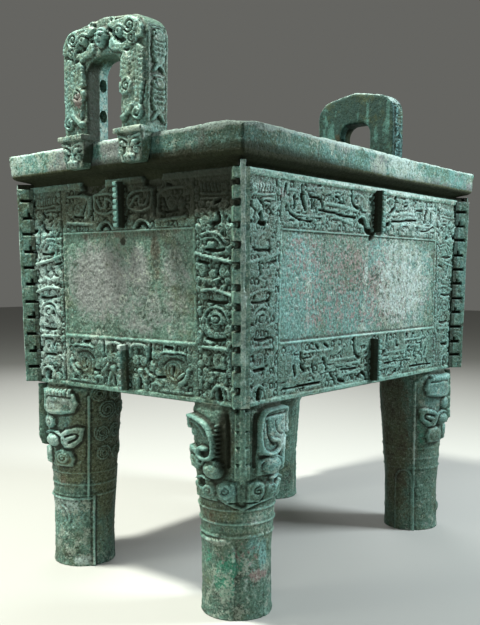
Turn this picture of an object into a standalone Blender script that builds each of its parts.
"""Rectangular four-legged ding, cast bronze.

A deep rectangular basin under a heavy projecting rim stands on four round legs. Notched flanges run
down the corners and the middle of each side, framing bands of dragons and stacked animal masks round
a plain panel. Two upright loop handles, cast on afterwards, clasp the short sides of the rim.

Metres, +Z up. X runs along the long side, Y along the short side, and the origin is on the ground
under the middle of the basin.
"""

from math import cos, pi, radians, sin

import bmesh
import bpy
from mathutils import Vector

# Basin and rim
HEIGHT = 1.330
RIM_HALF_X = 0.550
RIM_HALF_Y = 0.390
RIM_TOP = 1.054
RIM_FACE = 0.060
RIM_UNDERCUT = 0.004
NECK_TOP = 0.984
NECK_INSET = 0.003
WALL_TOP = 0.973
WALL_FOOT = 0.470
WALL_TOP_HALF = (0.512, 0.356)
WALL_FOOT_HALF = (0.497, 0.345)
WALL = 0.025
FLOOR = 0.028

# Bands of relief round the plain panels
BAND = 0.123
SIDE_BAND = 0.130
PLATE_RISE = 0.003
MOTIF_RISE = 0.009
BITE = 0.006
MASKS_IN_A_STACK = 4
STROKE = 0.012
EYE = (0.017, 0.014)

# Corner flanges, set on the diagonal, and the short flanges in the middle of each band
FLANGE_REACH = 0.031
FLANGE_ROOT = 0.030
WEB = 0.013
WEB_PROUD = 0.003
BLOCKS = 0.044
SLOT = 0.0055
SLOTS = 6
SLOT_PITCH = 0.0856
FIRST_SLOT = 0.041
LONG_SLOT = 0.021
SHORT_SLOT = 0.013
MIDDLE_FLANGE_REACH = 0.030
MIDDLE_FLANGE = 0.019
MIDDLE_NOTCH = 0.007
MIDDLE_TEETH = 4
FRONT_MIDDLE_SHIFT = 0.027

# Legs
LEG_X = 0.4117
LEG_Y = 0.2626
LEG_RADIUS = 0.080
LEG_SIDES = 12
RING = 0.0035
RING_HEIGHTS = (0.243, 0.212, 0.184)
LEG_MASK_FOOT = 0.262
LEG_FLANGE_REACH = 0.1176
LEG_FLANGE_SPAN = (0.312, 0.457)

# Handles
HANDLE_INNER = 0.5035
HANDLE_OUTER = 0.5697
HANDLE_FOOT_HALF = 0.137
HANDLE_HALF = 0.142
SHOULDER = 0.052
SHOULDER_TOP = 1.318
OPENING_HALF = 0.0552
OPENING_TOP = 1.243
OPENING_CORNER = 0.036
TIGER_RISE = 0.008
FISH_RISE = 0.003
LEDGE_REACH = 0.592
LEDGE = 0.011
CLASP_REACH = 0.578
CORE_HOLE = (0.010, 0.0138)
CORE_HOLE_DEPTH = 0.018
CORE_HOLE_INSET = 0.018
CORE_HOLE_HEIGHTS = (1.120, 1.191)

GAP = 0.0003


# Collections

for item in list(bpy.data.objects):
    bpy.data.objects.remove(item, do_unlink=True)

ding = bpy.data.collections.new("ding")
helpers = bpy.data.collections.new("cutters")
bpy.context.scene.collection.children.link(ding)
bpy.context.scene.collection.children.link(helpers)


def finish(name, colour, roughness, metallic):
    """A plain bronze finish for one sub-part."""
    material = bpy.data.materials.new(name)
    material.use_nodes = True
    shader = material.node_tree.nodes["Principled BSDF"]
    shader.inputs["Base Color"].default_value = (*colour, 1)
    shader.inputs["Roughness"].default_value = roughness
    shader.inputs["Metallic"].default_value = metallic
    return material


# Outlines: lists of (across, up) points

def stroke(path, width):
    """A bar of even width along a path, its ends cut square."""
    points = [Vector(point) for point in path]
    left, right = [], []
    for index, point in enumerate(points):
        before = points[max(index - 1, 0)]
        after = points[min(index + 1, len(points) - 1)]
        arriving = (point - before).normalized() if index else (after - point).normalized()
        leaving = (after - point).normalized() if index < len(points) - 1 else arriving
        normal = Vector((-arriving.y - leaving.y, arriving.x + leaving.x)).normalized()
        reach = width / 2 / max(normal.dot(Vector((-arriving.y, arriving.x))), 0.6)
        left.append(tuple(point + normal * reach))
        right.append(tuple(point - normal * reach))
    return left + right[::-1]


def oval(centre, radii, sides):
    """A regular polygon stretched to two radii."""
    return [(centre[0] + radii[0] * cos(2 * pi * (step + 0.5) / sides),
             centre[1] + radii[1] * sin(2 * pi * (step + 0.5) / sides)) for step in range(sides)]


def box(low, high):
    """A rectangle from its two opposite corners."""
    return [low, (high[0], low[1]), high, (low[0], high[1])]


def mirrored(outline):
    """The same outline on the other side of the middle line."""
    return [(-across, up) for across, up in outline[::-1]]


# Solids

def extruded(outlines, low, high):
    """A mesh object: flat outlines (a second one cuts a window) given thickness from low to high."""
    curve = bpy.data.curves.new("outline", "CURVE")
    curve.dimensions = "2D"
    curve.fill_mode = "BOTH"
    curve.extrude = (high - low) / 2
    for outline in outlines:
        spline = curve.splines.new("POLY")
        spline.points.add(len(outline) - 1)
        for point, (across, up) in zip(spline.points, outline):
            point.co = (across, up, 0, 1)
        spline.use_cyclic_u = True
    flat = bpy.data.objects.new("outline", curve)
    helpers.objects.link(flat)
    bpy.context.view_layer.update()
    mesh = bpy.data.meshes.new_from_object(flat.evaluated_get(bpy.context.evaluated_depsgraph_get()))
    bpy.data.objects.remove(flat)
    solid = bmesh.new()
    solid.from_mesh(mesh)
    bmesh.ops.remove_doubles(solid, verts=solid.verts, dist=0.00001)
    bmesh.ops.translate(solid, verts=solid.verts, vec=(0, 0, (low + high) / 2))
    solid.to_mesh(mesh)
    solid.free()
    return mesh


def laid(mesh, surface):
    """Carry a flat-built mesh onto a surface: each (across, up, out) goes where surface puts it."""
    for vertex in mesh.vertices:
        vertex.co = surface(*vertex.co)
    return mesh


def gathered(name, meshes, collection):
    """One object from separate meshes that don't touch, with every face pointing out."""
    whole = bmesh.new()
    for mesh in meshes:
        whole.from_mesh(mesh)
        bpy.data.meshes.remove(mesh)
    bmesh.ops.recalc_face_normals(whole, faces=whole.faces)
    mesh = bpy.data.meshes.new(name)
    whole.to_mesh(mesh)
    whole.free()
    item = bpy.data.objects.new(name, mesh)
    collection.objects.link(item)
    return item


def helper(name, meshes):
    """Shapes that a Boolean adds to a part or cuts from it."""
    item = gathered(name, meshes, helpers)
    item.hide_render = True
    item.display_type = "WIRE"
    return item


def combine(part, other, operation="UNION"):
    """Add the other solid to the part, or cut it away."""
    boolean = part.modifiers.new(other.name, "BOOLEAN")
    boolean.operation = operation
    boolean.solver = "EXACT"
    boolean.object = other


def turned(profile, sides, place):
    """A solid turned from a profile of (radius, height) points, top to bottom."""
    mesh = bpy.data.meshes.new("profile")
    mesh.from_pydata([(radius, 0, height) for radius, height in profile],
                     [(step, step + 1) for step in range(len(profile) - 1)], [])
    item = bpy.data.objects.new("profile", mesh)
    helpers.objects.link(item)
    screw = item.modifiers.new("turn", "SCREW")
    screw.steps = screw.render_steps = sides
    screw.use_merge_vertices = True
    screw.merge_threshold = 0.0001
    bpy.context.view_layer.update()
    result = bpy.data.meshes.new_from_object(item.evaluated_get(bpy.context.evaluated_depsgraph_get()))
    bpy.data.objects.remove(item)
    for vertex in result.vertices:
        vertex.co += Vector(place)
    return result


def dome(centre, radii, surface):
    """A low boss, half sunk in a surface."""
    ball = bmesh.new()
    bmesh.ops.create_uvsphere(ball, u_segments=6, v_segments=4, radius=1)
    for vertex in ball.verts:
        vertex.co = surface(centre[0] + vertex.co.x * radii[0], centre[1] + vertex.co.y * radii[1],
                            vertex.co.z * radii[2])
    mesh = bpy.data.meshes.new("dome")
    ball.to_mesh(mesh)
    ball.free()
    return mesh


# Surfaces: each turns (across, up, out) into a place in the world

def wall_half(height):
    """Half-lengths of the basin, outside, at a height: it widens a little upwards."""
    share = (height - WALL_FOOT) / (WALL_TOP - WALL_FOOT)
    return [foot + share * (top - foot) for foot, top in zip(WALL_FOOT_HALF, WALL_TOP_HALF)]


def long_side(sign):
    """The side facing -Y, or +Y where sign is 1."""
    return lambda across, up, out: Vector((-sign * across, sign * (wall_half(up)[1] + out), up))


def short_side(sign):
    """The side facing -X, or +X where sign is 1."""
    return lambda across, up, out: Vector((sign * (wall_half(up)[0] + out), sign * across, up))


def corner(sign_x, sign_y):
    """The diagonal plane through a corner: across runs outwards, out is to one side of the plane."""
    def surface(across, up, out):
        half = wall_half(up)
        step = (across - out * sign_x * sign_y, across + out * sign_x * sign_y)
        return Vector((sign_x * (half[0] + step[0] / 2 ** 0.5), sign_y * (half[1] + step[1] / 2 ** 0.5), up))
    return surface


def leg_radius(height):
    """The leg swells towards the basin."""
    return LEG_RADIUS + 0.014 * max(0.0, (height - 0.20) / (WALL_FOOT - 0.20))


def round_leg(sign_x, sign_y):
    """The skin of a leg: across is an arc, measured along the skin from the outward diagonal."""
    outward = {(1, 1): 45, (-1, 1): 135, (-1, -1): 225, (1, -1): 315}[sign_x, sign_y]

    def surface(across, up, out):
        angle = radians(outward) + across / LEG_RADIUS
        reach = leg_radius(up) + out
        return Vector((sign_x * LEG_X + reach * cos(angle), sign_y * LEG_Y + reach * sin(angle), up))
    return surface


def leg_plane(sign_x, sign_y):
    """The diagonal plane through a leg's axis: across is the distance from that axis."""
    def surface(across, up, out):
        step = (across - out * sign_x * sign_y, across + out * sign_x * sign_y)
        return Vector((sign_x * (LEG_X + step[0] / 2 ** 0.5), sign_y * (LEG_Y + step[1] / 2 ** 0.5), up))
    return surface


SIGNS = [(sign_x, sign_y) for sign_x in (-1, 1) for sign_y in (-1, 1)]
SIDES = [(long_side(-1), WALL_FOOT_HALF[0], FRONT_MIDDLE_SHIFT), (long_side(1), WALL_FOOT_HALF[0], 0.0)]
SIDES += [(short_side(sign), WALL_FOOT_HALF[1], 0.0) for sign in (-1, 1)]


# Basin: one block, drawn up tier by tier to the rim and down again inside

def raise_tier(block, face, height, half_x, half_y):
    """Extrude the open-side face to the next level and size."""
    made = bmesh.ops.extrude_face_region(block, geom=[face])
    corners = [item for item in made["geom"] if isinstance(item, bmesh.types.BMVert)]
    for vertex in corners:
        vertex.co = (half_x if vertex.co.x > 0 else -half_x, half_y if vertex.co.y > 0 else -half_y, height)
    bmesh.ops.delete(block, geom=[face], context="FACES_ONLY")
    return next(item for item in made["geom"] if isinstance(item, bmesh.types.BMFace))


def basin_mesh():
    neck = [half - NECK_INSET for half in WALL_TOP_HALF]
    inner_top = [half - WALL for half in WALL_TOP_HALF]
    inner_floor = [half - WALL for half in wall_half(WALL_FOOT + FLOOR)]
    rim_foot = RIM_TOP - RIM_FACE
    tiers = [(WALL_TOP, *WALL_TOP_HALF), (WALL_TOP + 0.002, *neck), (NECK_TOP, *neck),
             (rim_foot, RIM_HALF_X - RIM_UNDERCUT, RIM_HALF_Y - RIM_UNDERCUT),
             (RIM_TOP, RIM_HALF_X, RIM_HALF_Y), (RIM_TOP, *inner_top),
             (WALL_TOP, *inner_top), (WALL_FOOT + FLOOR, *inner_floor)]
    block = bmesh.new()
    bmesh.ops.create_cube(block, size=1)
    for vertex in block.verts:
        level = WALL_TOP if vertex.co.z > 0 else WALL_FOOT
        half = wall_half(level)
        vertex.co = (2 * vertex.co.x * half[0], 2 * vertex.co.y * half[1], level)
    face = max(block.faces, key=lambda item: item.calc_center_median().z)
    for tier in tiers[1:]:
        face = raise_tier(block, face, *tier)
    mesh = bpy.data.meshes.new("basin")
    block.to_mesh(mesh)
    block.free()
    return mesh


# Relief of the bands

def dragon(length, height):
    """Half of a band: a dragon in profile, its open mouth to the middle flange and its tail outwards.
    Shares of the band's length and height."""
    def at(*points):
        return [(across * length, up * height) for across, up in points]
    return [stroke(at((0.08, 0.32), (0.20, 0.32), (0.20, 0.04)), STROKE),
            stroke(at((0.10, 0.92), (0.27, 0.92), (0.27, 0.60)), STROKE),
            oval(at((0.34, 0.26))[0], EYE, 5),
            stroke(at((0.39, 0.88), (0.39, 0.58), (0.66, 0.58)), STROKE),
            stroke(at((0.76, 0.92), (0.76, 0.22), (0.95, 0.22)), STROKE)]


def band_motifs(half_length, shift):
    """Every raised motif of one side, as outlines. Its bands meet a little off the middle."""
    panel_half = half_length - SIDE_BAND
    outlines = []
    for foot in (WALL_FOOT + 0.012, WALL_TOP - BAND + 0.008):
        for turn in (-1, 1):
            for shape in dragon(panel_half - 0.018 - turn * shift, BAND - 0.024):
                placed = [(shift + turn * (across + 0.010), up + foot) for across, up in shape]
                outlines.append(placed[::turn])
    pitch = (WALL_TOP - WALL_FOOT) / MASKS_IN_A_STACK
    for level in range(MASKS_IN_A_STACK):
        foot = WALL_FOOT + level * pitch
        middle = panel_half + SIDE_BAND * 0.42
        brow = stroke([(middle - 0.032, foot + 0.078), (middle + 0.030, foot + 0.086)], STROKE)
        eye = oval((middle + 0.010, foot + 0.046), EYE, 5)
        outlines += [brow, mirrored(brow), eye, mirrored(eye)]
    return outlines


def band_plates():
    """The raised ground of the bands, a frame round each plain panel."""
    meshes = []
    for surface, half, _ in SIDES:
        frame = box((-half + 0.006, WALL_FOOT + 0.004), (half - 0.006, WALL_TOP - 0.003))
        window = box((-half + SIDE_BAND, WALL_FOOT + BAND + 0.006), (half - SIDE_BAND, WALL_TOP - BAND))
        meshes.append(laid(extruded([frame, window], -BITE, PLATE_RISE), surface))
    return meshes


def motif_meshes():
    return [laid(extruded([outline], -BITE / 2, MOTIF_RISE), surface)
            for surface, half, shift in SIDES for outline in band_motifs(half, shift)]


# Flanges

def notched(foot, top, inner, outer, slots):
    """A strip from inner to outer with level slots let into its outer edge: (height, depth) pairs."""
    outline = [(inner, foot), (outer, foot)]
    for height, depth in slots:
        outline += [(outer, height - SLOT / 2), (outer - depth, height - SLOT / 2),
                    (outer - depth, height + SLOT / 2), (outer, height + SLOT / 2)]
    return outline + [(outer, top), (inner, top)]


def corner_flanges():
    """Thin webs with thicker notched blocks on both their faces."""
    slots = [(WALL_FOOT + FIRST_SLOT + step * SLOT_PITCH / 2, SHORT_SLOT if step % 2 else LONG_SLOT)
             for step in range(2 * SLOTS - 1)]
    foot, top = WALL_FOOT + 0.004, WALL_TOP - 0.004
    webs, blocks = [], []
    for signs in SIGNS:
        web = box((-FLANGE_ROOT / 3, foot + 0.002), (FLANGE_REACH, top + 0.002))
        webs.append(laid(extruded([web], -WEB / 2, WEB / 2), corner(*signs)))
        strip = notched(foot, top, -FLANGE_ROOT, FLANGE_REACH - WEB_PROUD, slots)
        blocks.append(laid(extruded([strip], -BLOCKS / 2, BLOCKS / 2), corner(*signs)))
    return webs, blocks


def middle_flanges():
    """Short upright flanges with a toothed edge."""
    meshes = []
    for surface, _, shift in SIDES:
        for foot, top in ((WALL_FOOT + 0.006, WALL_FOOT + BAND - 0.006),
                          (WALL_TOP - BAND + 0.010, WALL_TOP - 0.006)):
            pitch = (top - foot) / MIDDLE_TEETH
            edge = []
            for tooth in range(MIDDLE_TEETH):
                low = foot + tooth * pitch
                edge += [(MIDDLE_FLANGE_REACH - MIDDLE_NOTCH, low + 0.001),
                         (MIDDLE_FLANGE_REACH, low + pitch - 0.003)]
            outline = [(-BITE, foot)] + edge + [(-BITE, top)]
            strip = extruded([outline], -MIDDLE_FLANGE / 2, MIDDLE_FLANGE / 2)
            meshes.append(laid(strip, lambda out, up, across, place=surface, middle=shift:
                               place(across + middle, up, out)))
    return meshes


# Legs

def leg_meshes():
    """Turned shafts with three thin raised rings under the masks."""
    profile = [(0.0001, WALL_FOOT + 0.012), (leg_radius(WALL_FOOT), WALL_FOOT + 0.012)]
    for height in RING_HEIGHTS:
        radius = leg_radius(height)
        profile += [(radius, height + 0.005), (radius + RING, height), (radius, height - 0.005)]
    profile += [(LEG_RADIUS + 0.001, 0), (0.0001, 0)]
    return [turned(profile, LEG_SIDES, (sign_x * LEG_X, sign_y * LEG_Y, 0)) for sign_x, sign_y in SIGNS]


def leg_masks():
    """Ox-horned masks folded round the outer half of each leg."""
    horn = stroke([(0.096, 0.398), (0.086, 0.440), (0.046, 0.441), (0.030, 0.374), (0.062, 0.362)], 0.014)
    ear = box((0.082, 0.318), (0.104, 0.372))
    muzzle = box((0.014, LEG_MASK_FOOT), (0.070, 0.296))
    meshes = []
    for signs in SIGNS:
        skin = round_leg(*signs)
        for outline in (horn, ear, muzzle):
            for shape in (outline, mirrored(outline)):
                meshes.append(laid(extruded([shape], -0.008, 0.008), skin))
        for side in (-1, 1):
            meshes.append(dome((side * 0.047, 0.331), (0.021, 0.020, 0.016), skin))
    return meshes


def leg_flanges():
    """A short notched flange as the mask's nose ridge."""
    foot, top = LEG_FLANGE_SPAN
    slots = [(foot + (top - foot) * share, SHORT_SLOT) for share in (0.27, 0.55, 0.80)]
    strip = notched(foot, top, LEG_RADIUS - 0.012, LEG_FLANGE_REACH, slots)
    return [laid(extruded([strip], -0.016, 0.016), leg_plane(*signs)) for signs in SIGNS]


# Vessel: basin, flanges and legs are one casting

vessel = gathered("vessel", [basin_mesh()], ding)
webs, blocks = corner_flanges()
combine(vessel, helper("legs", leg_meshes()))
combine(vessel, helper("band_plates", band_plates()))
combine(vessel, helper("band_motifs", motif_meshes()))
combine(vessel, helper("flange_blocks", blocks + leg_flanges()))
combine(vessel, helper("flange_webs", webs + middle_flanges()))
combine(vessel, helper("leg_masks", leg_masks()))
vessel.data.materials.append(finish("patinated_bronze", (0.16, 0.27, 0.22), 0.68, 0.35))


# Handles

def arc(centre, radius, start, end, steps):
    """Points along a circular arc, angles in degrees."""
    return [(centre[0] + radius * cos(radians(start + (end - start) * step / steps)),
             centre[1] + radius * sin(radians(start + (end - start) * step / steps)))
            for step in range(steps + 1)]


def loop_outline():
    """The handle seen from its end of the vessel: two posts under a low arch with round shoulders."""
    foot = RIM_TOP + GAP
    right = [(HANDLE_FOOT_HALF, foot)]
    right += arc((HANDLE_HALF - SHOULDER, SHOULDER_TOP - SHOULDER), SHOULDER, 0, 80, 4)
    inner = [(OPENING_HALF, foot)]
    inner += arc((OPENING_HALF - OPENING_CORNER, OPENING_TOP - OPENING_CORNER), OPENING_CORNER, 0, 90, 3)
    outer = right + [(0, HEIGHT)] + mirrored(right)
    return outer + [(-across, up) for across, up in inner] + inner[::-1]


def tiger():
    """A tiger climbing a post, its open mouth to the middle of the arch: raised outlines."""
    body = [(0.066, 1.092), (0.124, 1.092), (0.130, 1.160), (0.130, 1.232), (0.098, 1.240), (0.074, 1.165)]
    upper_jaw = stroke([(0.126, 1.262), (0.098, 1.303), (0.034, 1.300)], 0.018)
    lower_jaw = stroke([(0.104, 1.262), (0.066, 1.257), (0.044, 1.264)], 0.012)
    return [body, upper_jaw, lower_jaw]


def clasp():
    """The beast mask hung over the rim's outer face under a post: brow, cheeks, muzzle."""
    middle = (OPENING_HALF + HANDLE_FOOT_HALF) / 2
    foot = RIM_TOP - RIM_FACE + 0.003
    return [(middle - 0.028, foot), (middle + 0.028, foot), (middle + 0.039, 1.030), (middle + 0.039, 1.0565),
            (middle - 0.039, 1.0565), (middle - 0.039, 1.030)]


def handle(name, sign):
    """One loop handle. The surface for its outlines faces outwards, along sign * X."""
    def outer_face(across, up, out):
        return Vector((sign * (HANDLE_OUTER + out), sign * across, up))

    def from_axis(across, up, out):
        return Vector((sign * out, sign * across, up))

    def edge_face(side):
        return lambda across, up, out: Vector((sign * across, sign * side * (HANDLE_FOOT_HALF + out), up))

    part = gathered(name, [laid(extruded([loop_outline()], HANDLE_INNER, HANDLE_OUTER), from_axis)], ding)

    clasps = []
    for outline in (clasp(), mirrored(clasp())):
        clasps.append(laid(extruded([outline], RIM_HALF_X + GAP, CLASP_REACH), from_axis))
    combine(part, helper(f"{name}_clasps", clasps))

    middle = (OPENING_HALF + HANDLE_FOOT_HALF) / 2
    trim = []
    for side in (-1, 1):
        ledge = box((side * middle - 0.043, 1.060), (side * middle + 0.043, 1.060 + LEDGE))
        trim.append(laid(extruded([ledge], HANDLE_OUTER - BITE, LEDGE_REACH), from_axis))
        for offset in (-0.018, 0.018):
            eye = oval((side * middle + offset, 1.040), (0.013, 0.010), 5)
            trim.append(laid(extruded([eye], CLASP_REACH - BITE, CLASP_REACH + 0.005), from_axis))
        fish = [(0.514, 1.106), (0.536, 1.088), (0.558, 1.106), (0.550, 1.170), (0.522, 1.170)]
        for rise in (0, 0.094):
            higher = [(across, up + rise) for across, up in fish]
            trim.append(laid(extruded([higher], -0.006, HANDLE_HALF - HANDLE_FOOT_HALF + FISH_RISE),
                             edge_face(side)))
    for outline in tiger():
        for shape in (outline, mirrored(outline)):
            trim.append(laid(extruded([shape], -BITE, TIGER_RISE), outer_face))
    trim.append(laid(extruded([oval((0, 1.282), (0.020, 0.027), 6)], -BITE, TIGER_RISE + 0.004), outer_face))
    combine(part, helper(f"{name}_relief", trim))

    holes = []
    for height in CORE_HOLE_HEIGHTS:
        hole = extruded([oval((HANDLE_INNER + CORE_HOLE_INSET, height), CORE_HOLE, 8)],
                        OPENING_HALF - 0.01, OPENING_HALF + CORE_HOLE_DEPTH)
        holes.append(laid(hole, lambda across, up, out: Vector((sign * across, -sign * out, up))))
    combine(part, helper(f"{name}_core_holes", holes), "DIFFERENCE")
    part.data.materials.append(finish(f"{name}_bronze", (0.20, 0.31, 0.26), 0.65, 0.35))
    return part


handle("left_handle", -1)
handle("right_handle", 1)
